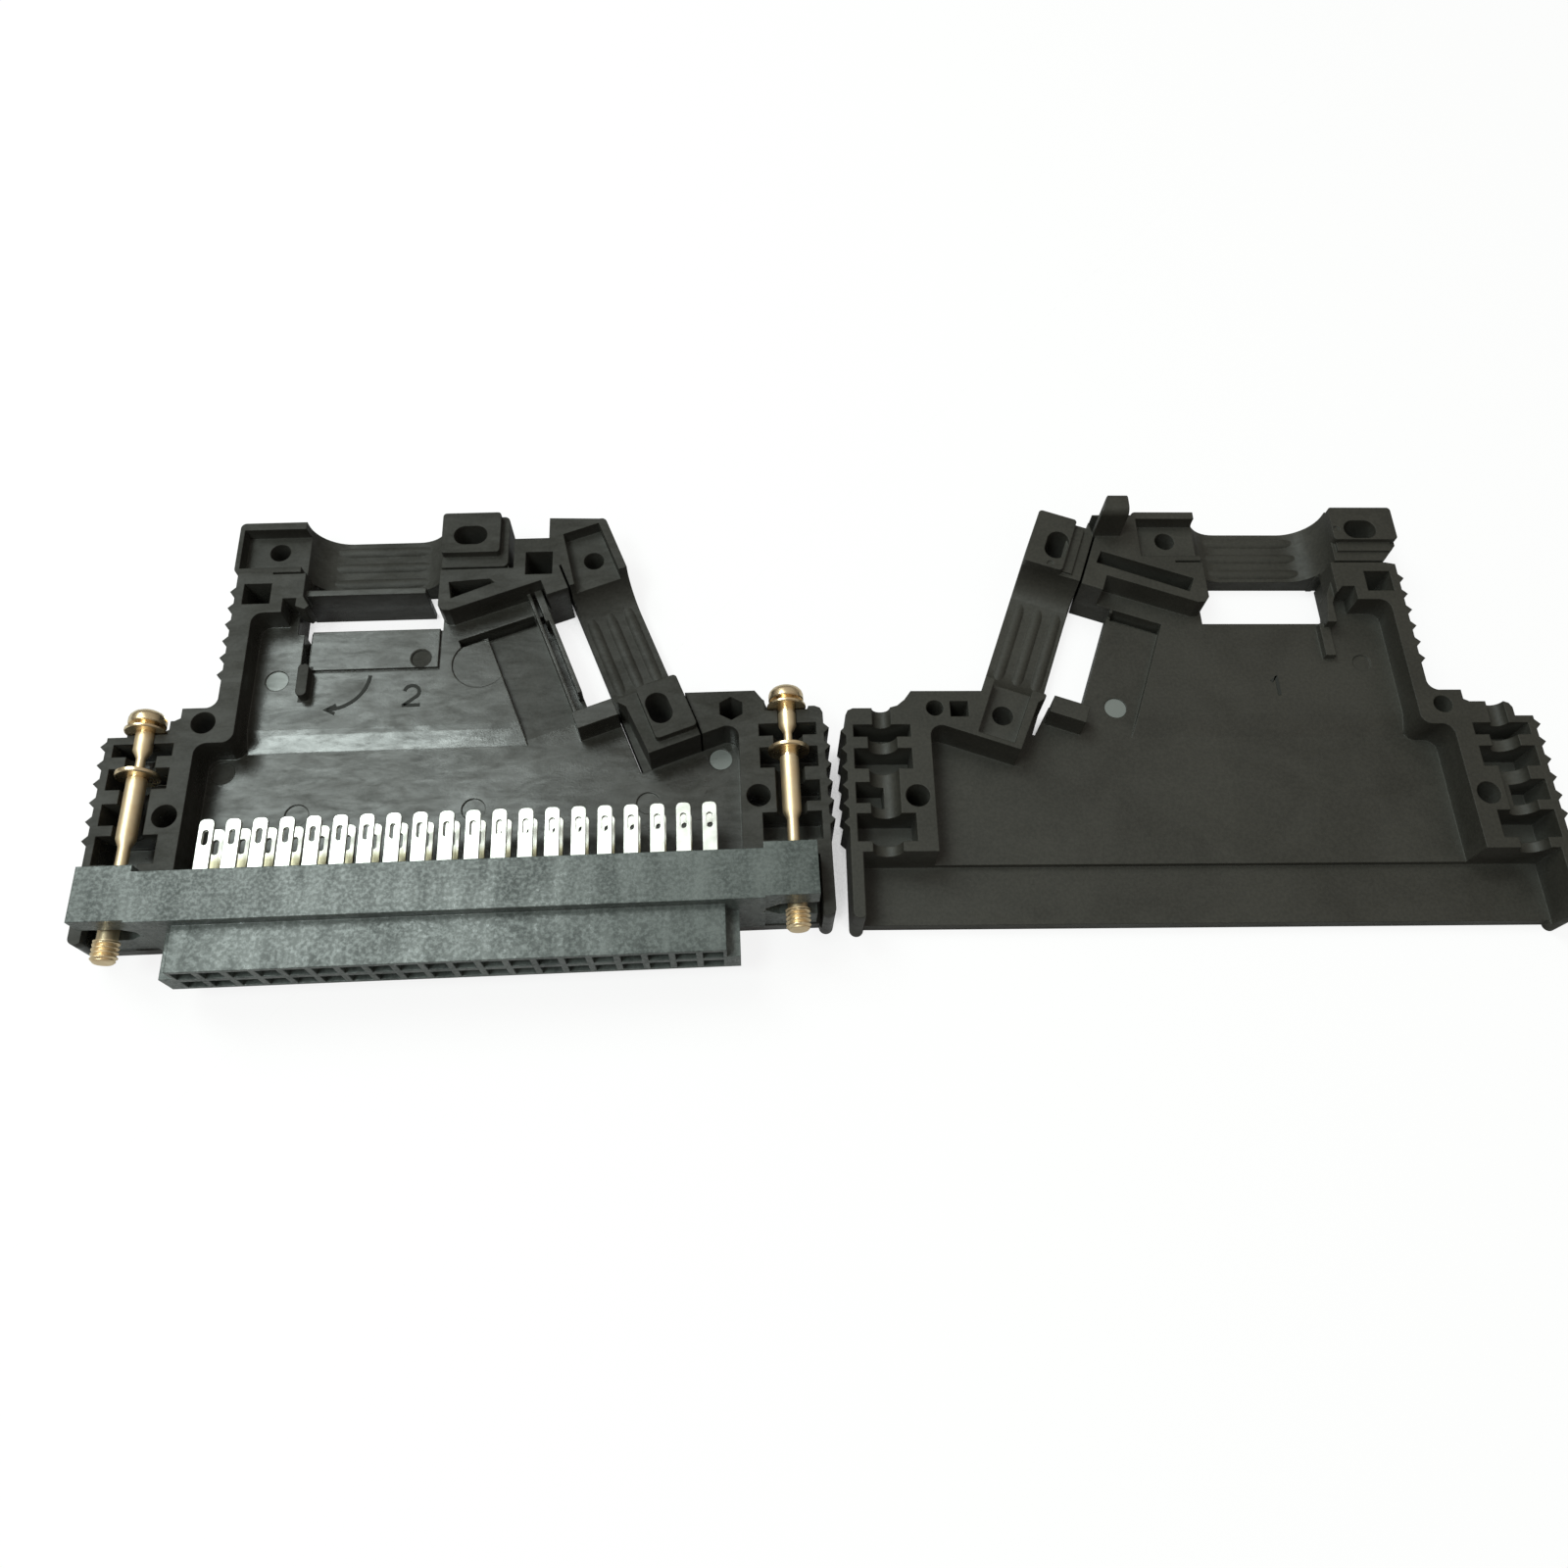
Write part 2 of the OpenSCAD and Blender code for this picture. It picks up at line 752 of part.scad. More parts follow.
// Base half: raised pads at the second clamp hole of each bar
module base_half() {
    difference() {
        union() {
            hood_half(1, wedge_base, -0.1, neck_wall, 6.05, 2.85, 0, slot_w + 0.1, blind_d, pad_in);
            base_raised();
            bar_corner();
        }
        head_cut(-1, left_slide);
        head_cut(1, right_slide);
        base_pockets();
        base_marks();
    }
}

// Cover half, drawn with the base's outline and mirrored when placed
module cover_half() {
    difference() {
        union() {
            hood_half(-1, wedge_cover, exit_out - 0.4, cover_neck_wall, 6.35, 4.25, cover_seat, 0.9, 2,
                cover_pad_in);
            cover_rib();
            slab(half_t - eps, half_t + pad_h / 3)
                at_exits()
                    rect(bar_a + 0.6, edge + cover_pad_in / 2, chan_a - 0.4, edge + cover_pad_in + 0.5);
            at_top()
                translate([bar_b + 1.6, 0, 0])
                    rotate([90, 0, 90])
                        linear_extrude(3)
                            round_rect(-0.4, half_t - 2, 2.2, half_t + peg_h, 0.9);
        }
        through()
            polygon([
                top_at(bar_a - 3.8, -1.7),
                top_at(bar_a, -1.7),
                top_at(bar_a + 1.6, edge),
                top_at(bar_a + 1.6, edge - slot_w),
                top_at(bar_a - 3.8, edge - 1.35)
            ]);
        through()
            polygon([
                slant_at(bar_a - 2, edge),
                slant_at(bar_a - 2, -2),
                slant_at(bar_a + 0.6, edge)
            ]);
        cut_from(blind_z)
            polygon([
                top_at(chan_b + 1.2, edge - 2.35),
                top_at(chan_b + 11, edge + 1.25),
                top_at(chan_b + 11.7, edge - 0.25),
                top_at(chan_b + 1.9, edge - 4.05)
            ]);
        through()
            translate([shoulder_x - 2.4, shoulder_y - 2])
                circle(d = 1.8);
        cut_from(blind_z)
            rect(shoulder_x - 5.9, shoulder_y - 3, shoulder_x - 4, shoulder_y - 1.2);
        through()
            at_slant()
                polygon([
                    [chan_b - 1, edge - 0.02],
                    [chan_b - 1, edge - 0.85],
                    [chan_b + 2.8, edge - slot_w - 0.02],
                    [chan_b + 2.8, edge - 0.02]
                ]);
        at_exits()
            mark(2.6, 0, half_t + pad_h, 0.35);
        at_slant()
            mark(chan_b - 3.3, edge - 7.65, front_z);
        mark(4.7 - neck_x, sill_y + 9, rear_z, mark_r - 0.2);
    }
}

// Stands a half on the table with the origin under the base
module placed() {
    translate([0, -datum_y, 0])
        children();
}

module base_hood() {
    color("#3c3d3a")
        placed()
            base_half();
}

module cover_hood() {
    color("#454640")
        placed()
            translate([cover_x, cover_y, 0])
                rotate(cover_turn)
                    mirror([1, 0, 0])
                        cover_half();
}

// Ear opening for a screw: a bore, open to the outer end, flared at the front
module ear_cut(side) {
    translate([side * screw_x, -1, half_t])
        rotate([-90, 0, 0])
            cylinder(d = shank_d + 2 * run, h = 10);
    translate([side > 0 ? screw_x : -ear_x - 1, -1, half_t - 0.9])
        cube([ear_x + 1 - screw_x, 10, 1.8]);
    translate([0, 1 + seat_play, 0])
        rotate([90, 0, 0])
            linear_extrude(3)
                polygon([
                    [side * (screw_x - 3.4), half_t],
                    [side * (screw_x - 1.7), half_t + 1.5],
                    [side * (ear_x + 1), half_t + 1.7],
                    [side * (ear_x + 1), half_t - 1.7],
                    [side * (screw_x - 1.7), half_t - 1.5]
                ]);
}

// Nose seen from the front, wide below and narrow above
module nose_front() {
    polygon([
        [-nose_x, half_t - nose_down],
        [nose_x, half_t - nose_down],
        [nose_x, half_t + 0.6],
        [nose_top_x, half_t + 0.6],
        [nose_top_x, half_t + nose_up],
        [-nose_top_x, half_t + nose_up],
        [-nose_top_x, half_t + 0.6],
        [-nose_x, half_t + 0.6]
    ]);
}

module insert_body() {
    color("#8b8d8b")
        placed()
            difference() {
                union() {
                    translate([-flange_x, -seat_play, seat_z])
                        cube([2 * flange_x, flange_d, flange_t]);
                    for (side = [-1, 1])
                        translate([side > 0 ? flange_x - eps : -ear_x, seat_play, seat_z])
                            cube([ear_x - flange_x + eps, ear_d, flange_t]);
                    translate([0, eps, 0])
                        rotate([90, 0, 0])
                            linear_extrude(nose_l + seat_play)
                                nose_front();
                }
                for (side = [-1, 1])
                    ear_cut(side);
                for (i = [0:ways - 1], r = [0, 1])
                    translate([row_x0 + i * pitch, 0, row_z[r]]) {
                        translate([-stem_w / 2, -5, -metal_t / 2])
                            cube([stem_w, big / 3, metal_t]);
                        translate([-cell_w / 2, -nose_l - 1, -cell_h / 2])
                            cube([cell_w, 4.2, cell_h]);
                    }
            }
}

// One contact: solder tab with an oblong hole, stem and blade, lying flat
module contact(i, r) {
    color("#d9dadb")
        placed()
            translate([row_x0 + (i - 1) * pitch, 0, row_z[r] - metal_t / 2])
                linear_extrude(metal_t)
                    difference() {
                        union() {
                            rect(-stem_w / 2, 0.8 - nose_l, stem_w / 2, tab_y + eps);
                            rect(-tab_w / 2, tab_y, tab_w / 2, tab_y + tab_l - tab_w / 3);
                            rect(-tab_w / 6, tab_y, tab_w / 6, tab_y + tab_l);
                            for (x = [-tab_w / 6, tab_w / 6])
                                translate([x, tab_y + tab_l - tab_w / 3])
                                    circle(r = tab_w / 3, $fn = 12);
                        }
                        translate([0, tab_y + tab_l - 1.9]) {
                            square([tab_hole, 1], center = true);
                            for (y = [-0.5, 0.5])
                                translate([0, y])
                                    circle(d = tab_hole, $fn = 14);
                        }
                    }
}

module contact_upper(i) {
    contact(i, 0);
}

module contact_lower(i) {
    contact(i, 1);
}

// Turned jackscrew along Y, from its tip to its slotted head
module screw_at(side, slide) {
    color("#d9c9a0")
        placed()
            translate([side * screw_x, slide, half_t])
                difference() {
                    rotate([-90, 0, 0])
                        rotate_extrude()
                            polygon([
                                [0, -tip_out],
                                [tip_d / 2 - 0.3, -tip_out],
                                [tip_d / 2, 0.3 - tip_out],
                                [tip_d / 2, tip_rear],
                                [shank_d / 2, tip_rear],
                                [shank_d / 2, ear_d - 0.2],
                                [waist_d / 2, ear_d + 0.6],
                                [waist_d / 2, front_pocket[1] - 1],
                                [shank_d / 2, front_pocket[1] - 0.2],
                                [shank_d / 2, collar_y],
                                [collar_d / 2, collar_y],
                                [collar_d / 2, collar_y + collar_t],
                                [waist_d / 2 - 0.15, collar_y + collar_t],
                                [waist_d / 2 - 0.15, rear_pocket[0]],
                                [upper_d / 2, rear_pocket[1] - 0.6],
                                [upper_d / 2, head_y],
                                [head_d / 2, head_y],
                                [head_d / 2, head_y + 0.35],
                                [upper_d / 2 + 0.2, head_y + 0.35],
                                [upper_d / 2 + 0.2, head_y + 0.85],
                                [head_d / 2 - 0.2, head_y + 0.85],
                                [head_d / 2 - 0.2, head_y + head_h - 0.85],
                                [head_d / 2 - 0.6, head_y + head_h - 0.25],
                                [head_d / 2 - 1.2, head_y + head_h],
                                [0, head_y + head_h]
                            ]);
                    translate([0, head_y + head_h - 0.2, 0])
                        cube([5, 1.6, 0.6], center = true);
                }
}

module screw_left() {
    screw_at(-1, left_slide);
}

module screw_right() {
    screw_at(1, right_slide);
}

base_hood();
cover_hood();
insert_body();
screw_left();
screw_right();
for (i = [1:ways]) {
    contact_upper(i);
    contact_lower(i);
}
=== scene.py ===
"""Looks of the opened controller connector: materials, threaded jackscrews, floor, light and camera."""

import math

import bmesh
import bpy
from mathutils import Matrix, Vector


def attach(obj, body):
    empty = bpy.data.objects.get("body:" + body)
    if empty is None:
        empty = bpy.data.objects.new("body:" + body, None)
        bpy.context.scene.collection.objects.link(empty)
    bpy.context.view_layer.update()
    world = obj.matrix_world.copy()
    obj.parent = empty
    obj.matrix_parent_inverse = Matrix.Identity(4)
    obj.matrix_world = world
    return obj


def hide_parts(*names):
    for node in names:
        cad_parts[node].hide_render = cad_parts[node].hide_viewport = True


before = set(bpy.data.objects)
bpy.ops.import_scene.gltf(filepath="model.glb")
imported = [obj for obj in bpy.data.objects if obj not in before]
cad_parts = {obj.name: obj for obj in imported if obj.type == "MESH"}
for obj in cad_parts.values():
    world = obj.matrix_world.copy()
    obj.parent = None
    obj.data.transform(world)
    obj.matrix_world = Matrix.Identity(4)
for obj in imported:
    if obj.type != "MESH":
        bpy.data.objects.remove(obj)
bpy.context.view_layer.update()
scene = bpy.context.scene
scene.view_settings.view_transform = "Standard"


# Sizes of the part in millimetres, with plan places as X from the middle and Y from the base's front edge

MM = 0.001
DATUM_Y = 12.0
PARTING_Z = 6.0
FRONT_Z = 2.1
REAR_Z = 3.0
RIM_Z = (4.7, 5.6)
RAMP_START_Z = (FRONT_Z + 0.03, FRONT_Z + 0.06)
RAMP_END_Z = (REAR_Z - 0.25, REAR_Z - 0.2)
MARK_R = 1.2
SOFT_EDGE = 0.05
FAR = 60.0

# The cover lies mirrored beside the base, turned a little

COVER_AT = (73.6, -1.6)
COVER_TURN = math.radians(-1.9)

# Ejector marks in plan, each with the strength of its tone; the pale ones carry a painted highlight

BASE_HIGHLIGHT_MARKS = [(-21.25, 28.65, 0.6), (25.35, 18.1, 0.75)]
BASE_DULL_MARKS = [(-6.25, 30.7, 1.0), (-25.8, 18.4, 1.0)]
COVER_HIGHLIGHT_MARKS = [(6.54, 24.03, 0.6)]

# Unpolished parts of the base, the slanted ones along and across its slanted cable exit

EXIT_EDGE_Y = 40.3
GUIDE_RIB_X = (-18.8, -17.5)
GUIDE_RIB_Y = (26.0, 30.0)
SLANT_AT = (12.1, 41.8)
SLANT = math.radians(-70.0)
SLANT_BAR = ((-20.0, 25.4), (-3.75, 20.0))
SLANT_STRIP = ((4.2, 17.1), (-13.65, -8.15))
STRIP_DULLNESS = 0.6

# Contacts: their rear end, and how far in front of it their shade is full and where it begins

TAB_END_Y = 10.95
TAB_SHADE = (3.4, 2.6)

# Jackscrews: radii, places along Y, stretches of collar and head that shine, and how far each has slid

SCREW_X = 32.3
SLIDES = {"left": -0.3, "right": 0.2}
TIP_R = 1.2
TIP_END = -2.3
TIP_REAR = -0.3
TIP_CHAMFER = 0.3
TIP_CHAMFER_RISE = 0.95
SHANK_R = 0.95
WAIST_R = 0.6
WAIST_Y = (6.0, 9.2)
TAPER = 0.8
COLLAR_R = 2.1
COLLAR_Y = (16.5, 17.0)
COLLAR_EDGE_R = 0.12
COLLAR_EDGE_Y = 0.1
NECK_R = 0.45
NECK_END = 18.7
UPPER_R = 0.9
HEAD_Y = 21.5
HEAD_R = 2.0
HEAD_GROOVE_R = 1.0
SHINY_Y = ((16.1, 17.3), (21.1, 25.5))
DOME_R = 1.8
SLOT_SIZE = (5.0, 1.6, 0.6)
SLOT_RISE = 2.2
THREAD_PITCH = 0.45
THREAD_DEPTH = 0.22
THREAD_RUN_OUT = 0.25
THREAD_ROWS = 44
SEGMENTS = 72
SMOOTH_ANGLE = math.radians(32)

# Moulded signs

STROKE = 0.36
SIGN_SINK = 0.04
SIGN_RISE = 0.05
TWO_AT = (-7.0, 26.25)
ARROW_AT = (-15.8, 29.25)
ONE_AT = (-11.2, 26.25)

# Tones

# Painted fill light: a paler tone laid into open pockets, standing in for light that lifts their shade
PAINTED_POCKET_FILL = (0.07, 0.072, 0.064)
# Painted highlight: the pale tone of the bright ejector marks
MARK_HIGHLIGHT_TONE = (0.25, 0.27, 0.26)
INSERT_DARK = (0.036, 0.043, 0.041)
INSERT_LIGHT = (0.098, 0.112, 0.107)
INSERT_FLECK = (0.155, 0.18, 0.172)
BRASS_LIGHT = (0.90, 0.74, 0.50)
BRASS_STAINED = (0.80, 0.61, 0.38)
SIGN_TONE = (0.016, 0.017, 0.015)
WHITE = (1.0, 1.0, 1.0)
ROOM_TINT = (1.0, 0.955, 0.86)
LAMP_TINT = (0.885, 1.0, 0.966)

# Floor in metres and shares of light, and the sky's strength at the horizon and overhead

FLOOR_HALF = 3.0
FLOOR_DROP = 0.02 * MM
FLOOR_BOUNCE = 0.42
FLOOR_GLOW = 0.86
FLOOR_SEEN = 0.95
FLOOR_MIRRORED = 0.15
NOOK_REACH = 8.0 * MM
SKY_STRENGTH = (0.12, 0.5)

# Camera of the photograph

EYE = Vector((26.40, -49.88, 117.39)) * MM
AHEAD = Vector((0.0426, 0.4166, -0.9081)).normalized()
LEVEL = Vector((0.9948, -0.1018, 0.0)).normalized()
ROLL = math.radians(3.30)
SENSOR = 36.0
LENS = 28.125
CLIP_START = 0.005

# Node settings: samples of the edge and nook nodes, and the sockets of a Mix node for colours

EDGE_SAMPLES = 6
NOOK_SAMPLES = 8
MIX_FACTOR, MIX_A, MIX_B, MIX_RESULT = 0, 6, 7, 2


# Places on the table

def base_point(x, y):
    """A plan point of the base, in metres on the table."""
    return Vector((x, y - DATUM_Y, 0.0)) * MM


def cover_point(x, y):
    """A plan point of the mirrored cover, given in the base's outline, in metres on the table."""
    return Matrix.Rotation(COVER_TURN, 3, "Z") @ (Vector((-x, y, 0.0)) * MM) + base_point(*COVER_AT)


def marks_on(place, marks):
    """Ejector marks as X and Y in metres on the table, and level."""
    return [(*place(x, y)[:2], level) for x, y, level in marks]


# Node helpers

def new_material(name):
    mat = bpy.data.materials.new(name)
    mat.use_nodes = True
    tree = mat.node_tree
    tree.nodes.clear()
    out = tree.nodes.new("ShaderNodeOutputMaterial")
    shader = tree.nodes.new("ShaderNodeBsdfPrincipled")
    tree.links.new(shader.outputs["BSDF"], out.inputs["Surface"])
    return mat, tree, shader


def feed(tree, socket, value):
    """Set a socket to a number or a colour, or link it to another node's output."""
    if isinstance(value, tuple):
        socket.default_value = (*value, 1.0)
    elif isinstance(value, (int, float)):
        socket.default_value = value
    else:
        tree.links.new(value, socket)


def coords(tree):
    return tree.nodes.new("ShaderNodeTexCoord").outputs["Object"]


def axes(tree, vector):
    node = tree.nodes.new("ShaderNodeSeparateXYZ")
    tree.links.new(vector, node.inputs["Vector"])
    return node.outputs["X"], node.outputs["Y"], node.outputs["Z"]


def stretched(tree, vector, scale, turn=0.0):
    """Coordinates scaled along each axis, and turned about Z."""
    node = tree.nodes.new("ShaderNodeMapping")
    node.inputs["Scale"].default_value = scale
    node.inputs["Rotation"].default_value = (0.0, 0.0, turn)
    tree.links.new(vector, node.inputs["Vector"])
    return node.outputs["Vector"]


def noise(tree, vector, scale, detail, rough, distortion=0.0):
    node = tree.nodes.new("ShaderNodeTexNoise")
    node.inputs["Scale"].default_value = scale
    node.inputs["Detail"].default_value = detail
    node.inputs["Roughness"].default_value = rough
    node.inputs["Distortion"].default_value = distortion
    tree.links.new(vector, node.inputs["Vector"])
    return node.outputs["Fac"]


def remap(tree, value, from_low, from_high, to_low=0.0, to_high=1.0):
    node = tree.nodes.new("ShaderNodeMapRange")
    node.clamp = True
    node.inputs["From Min"].default_value = from_low
    node.inputs["From Max"].default_value = from_high
    node.inputs["To Min"].default_value = to_low
    node.inputs["To Max"].default_value = to_high
    tree.links.new(value, node.inputs["Value"])
    return node.outputs["Result"]


def math_node(tree, operation, first, second):
    node = tree.nodes.new("ShaderNodeMath")
    node.operation = operation
    feed(tree, node.inputs[0], first)
    feed(tree, node.inputs[1], second)
    return node.outputs["Value"]


def plus(tree, first, second):
    return math_node(tree, "ADD", first, second)


def minus(tree, first, second):
    return math_node(tree, "SUBTRACT", first, second)


def times(tree, first, second):
    return math_node(tree, "MULTIPLY", first, second)


def most(tree, first, second):
    return math_node(tree, "MAXIMUM", first, second)


def towards(tree, value, goal, share):
    """The value moved towards a goal by a share."""
    return plus(tree, value, times(tree, share, minus(tree, goal, value)))


def mix_colour(tree, factor, first, second):
    node = tree.nodes.new("ShaderNodeMix")
    node.data_type = "RGBA"
    feed(tree, node.inputs[MIX_FACTOR], factor)
    feed(tree, node.inputs[MIX_A], first)
    feed(tree, node.inputs[MIX_B], second)
    return node.outputs[MIX_RESULT]


def round_edges(tree, radius):
    """Normals of edges rounded by a radius in millimetres."""
    node = tree.nodes.new("ShaderNodeBevel")
    node.samples = EDGE_SAMPLES
    node.inputs["Radius"].default_value = radius * MM
    return node.outputs["Normal"]


def bump(tree, height, strength, depth, normal=None):
    """Normals of a relief whose depth is in millimetres."""
    node = tree.nodes.new("ShaderNodeBump")
    node.inputs["Strength"].default_value = strength
    node.inputs["Distance"].default_value = depth * MM
    tree.links.new(height, node.inputs["Height"])
    if normal is not None:
        tree.links.new(normal, node.inputs["Normal"])
    return node.outputs["Normal"]


def painted_fill_mask(tree, reach):
    """1 in open pockets, which get a paler tone as painted fill light in place of the light that lifts their
    shade, and 0 on open faces and deep in narrow holes.
    """
    node = tree.nodes.new("ShaderNodeAmbientOcclusion")
    node.samples = EDGE_SAMPLES
    node.only_local = True
    node.inputs["Distance"].default_value = reach * MM
    openness = node.outputs["AO"]
    pocket = remap(tree, openness, 0.3, 0.55, 1.0, 0.0)
    return times(tree, pocket, remap(tree, openness, 0.16, 0.28))


# Masks, with lengths in millimetres

def height_mask(tree, vector, low, high):
    """0 below low and 1 above high, along Z."""
    return remap(tree, axes(tree, vector)[2], low * MM, high * MM)


def band(tree, value, low, high):
    """1 between low and high, and 0 outside."""
    above = remap(tree, value, (low - SOFT_EDGE) * MM, low * MM)
    below = remap(tree, value, high * MM, (high + SOFT_EDGE) * MM, 1.0, 0.0)
    return times(tree, above, below)


def patch(tree, first, first_span, second, second_span):
    """1 where two coordinates both lie in their spans, and 0 outside."""
    return times(tree, band(tree, first, *first_span), band(tree, second, *second_span))


def disc_mask(tree, vector, marks):
    """Each mark's level inside its round, and 0 elsewhere. Marks are X and Y in metres, and level."""
    flat = tree.nodes.new("ShaderNodeVectorMath")
    flat.operation = "MULTIPLY"
    flat.inputs[1].default_value = (1.0, 1.0, 0.0)
    tree.links.new(vector, flat.inputs[0])
    total = 0.0
    for x, y, level in marks:
        gap = tree.nodes.new("ShaderNodeVectorMath")
        gap.operation = "DISTANCE"
        gap.inputs[1].default_value = (x, y, 0.0)
        tree.links.new(flat.outputs[0], gap.inputs[0])
        inside = remap(tree, gap.outputs["Value"], (MARK_R - SOFT_EDGE) * MM, MARK_R * MM, level, 0.0)
        total = most(tree, inside, total)
    return total


def slanted(tree, vector):
    """Distances along and across the slanted cable exit of the base."""
    node = tree.nodes.new("ShaderNodeMapping")
    node.vector_type = "TEXTURE"
    node.inputs["Location"].default_value = base_point(*SLANT_AT)
    node.inputs["Rotation"].default_value = (0.0, 0.0, SLANT)
    tree.links.new(vector, node.inputs["Vector"])
    along, across, _ = axes(tree, node.outputs["Vector"])
    return along, across


def dull_zones(tree, vector):
    """The base's clamp bars, its guide rib and the strip by its slanted window, which are unpolished."""
    x, y, _ = axes(tree, vector)
    along, across = slanted(tree, vector)
    bar = patch(tree, along, SLANT_BAR[0], across, SLANT_BAR[1])
    strip = patch(tree, along, SLANT_STRIP[0], across, SLANT_STRIP[1])
    rib = patch(tree, x, GUIDE_RIB_X, y, [edge - DATUM_Y for edge in GUIDE_RIB_Y])
    zone = most(tree, band(tree, y, EXIT_EDGE_Y - DATUM_Y, FAR), bar)
    zone = most(tree, zone, rib)
    return most(tree, zone, times(tree, strip, STRIP_DULLNESS))


# Materials

def hood_plastic(name, dark, light, floor_rough, ramp_rough, rim_rough, wave, grain_depth, shine_spread,
                 highlight_marks, dull_marks, zones=None):
    """Moulded black plastic: sleek floors with slow sink marks, finely grained rims, ejector marks, with
    painted fill light in open pockets and a painted highlight on the pale ejector marks.
    """
    mat, tree, shader = new_material(name)
    at = coords(tree)
    drawn = stretched(tree, at, (0.35, 1.0, 1.0), math.radians(12.0))
    cloud = remap(tree, noise(tree, at, scale=110.0, detail=3.0, rough=0.55, distortion=0.8), 0.36, 0.66)
    scuff = remap(tree, noise(tree, drawn, scale=1500.0, detail=4.0, rough=0.65, distortion=0.3), 0.45, 0.75)
    speckle = remap(tree, noise(tree, at, scale=3000.0, detail=2.0, rough=0.6), 0.35, 0.65)
    rim = height_mask(tree, at, *RIM_Z)
    zone = zones(tree, at) if zones is not None else 0.0

    tint = mix_colour(tree, times(tree, plus(tree, cloud, speckle), 0.5), dark, light)
    # Open pockets painted paler: painted fill light
    tint = mix_colour(tree, painted_fill_mask(tree, reach=3.0), tint, PAINTED_POCKET_FILL)
    # Pale ejector marks: a painted highlight
    tint = mix_colour(tree, disc_mask(tree, at, highlight_marks), tint, MARK_HIGHLIGHT_TONE)
    tree.links.new(tint, shader.inputs["Base Color"])

    rough = remap(tree, cloud, 0.0, 1.0, floor_rough - 0.06, floor_rough + 0.10)
    rough = plus(tree, rough, times(tree, scuff, 0.12))
    rough = most(tree, rough, times(tree, disc_mask(tree, at, dull_marks), 0.9))
    ramp = minus(tree, height_mask(tree, at, *RAMP_START_Z), height_mask(tree, at, *RAMP_END_Z))
    polished = remap(tree, scuff, 0.0, 1.0, ramp_rough, ramp_rough + 0.16)
    rough = towards(tree, rough, polished, ramp)
    rough = towards(tree, rough, rim_rough, zone)
    rough = towards(tree, rough, rim_rough, rim)
    tree.links.new(rough, shader.inputs["Roughness"])

    blotch = noise(tree, drawn, scale=620.0, detail=6.0, rough=0.68, distortion=0.6)
    shine = remap(tree, blotch, 0.36, 0.64, 0.44 - shine_spread, 0.44 + shine_spread)
    shine = times(tree, shine, remap(tree, rim, 0.0, 1.0, 1.0, 0.85))
    shine = times(tree, shine, minus(tree, 1.0, times(tree, zone, 0.25)))
    tree.links.new(shine, shader.inputs["Specular IOR Level"])

    sink = noise(tree, at, scale=95.0, detail=2.0, rough=0.5, distortion=0.5)
    wavy = bump(tree, sink, wave, depth=0.8, normal=round_edges(tree, 0.16))
    grain = noise(tree, at, scale=4200.0, detail=3.0, rough=0.65)
    tree.links.new(bump(tree, grain, grain_depth, depth=0.03, normal=wavy), shader.inputs["Normal"])
    return mat


def insert_plastic():
    """Filled grey plastic with fine bright flecks."""
    mat, tree, shader = new_material("insert_filled_plastic")
    at = coords(tree)
    columns = stretched(tree, at, (1.0, 0.22, 0.3))
    fleck = remap(tree, noise(tree, at, scale=2600.0, detail=3.0, rough=0.65), 0.42, 0.68)
    cloud = remap(tree, noise(tree, at, scale=160.0, detail=3.0, rough=0.5), 0.35, 0.65)
    streak = noise(tree, columns, scale=480.0, detail=3.0, rough=0.55, distortion=0.4)
    streak = remap(tree, streak, 0.36, 0.66)
    mottle = times(tree, plus(tree, cloud, streak), 0.5)

    tone = mix_colour(tree, mottle, INSERT_DARK, INSERT_LIGHT)
    tone = mix_colour(tree, times(tree, fleck, 0.5), tone, INSERT_FLECK)
    tree.links.new(tone, shader.inputs["Base Color"])

    rough = plus(tree, remap(tree, fleck, 0.0, 1.0, 0.42, 0.28), times(tree, streak, -0.06))
    tree.links.new(rough, shader.inputs["Roughness"])

    shine = plus(tree, times(tree, mottle, 0.3), times(tree, fleck, 0.2))
    tree.links.new(plus(tree, shine, 0.25), shader.inputs["Specular IOR Level"])

    relief = noise(tree, at, scale=1500.0, detail=3.0, rough=0.6)
    coarse = bump(tree, relief, strength=0.35, depth=0.04, normal=round_edges(tree, 0.14))
    tree.links.new(coarse, shader.inputs["Normal"])
    return mat


def tinned(name, dark, light, shade=None):
    """Tin-plated strip with faint rolling lines along Y, and with painted shade some way in front of its
    rear end.
    """
    mat, tree, shader = new_material(name)
    at = coords(tree)
    lines = noise(tree, stretched(tree, at, (1.0, 0.12, 1.0)), scale=5000.0, detail=3.0, rough=0.6)
    cloud = noise(tree, at, scale=900.0, detail=3.0, rough=0.5)
    tone = mix_colour(tree, remap(tree, cloud, 0.35, 0.7), dark, light)
    if shade is not None:
        full, start = [(TAB_END_Y - DATUM_Y - gap) * MM for gap in TAB_SHADE]
        tone = mix_colour(tree, remap(tree, axes(tree, at)[1], full, start, 1.0, 0.0), tone, shade)
    tree.links.new(tone, shader.inputs["Base Color"])
    shader.inputs["Metallic"].default_value = 1.0
    tree.links.new(remap(tree, lines, 0.3, 0.7, 0.34, 0.48), shader.inputs["Roughness"])
    rolled = bump(tree, lines, strength=0.15, depth=0.01, normal=round_edges(tree, 0.07))
    tree.links.new(rolled, shader.inputs["Normal"])
    return mat


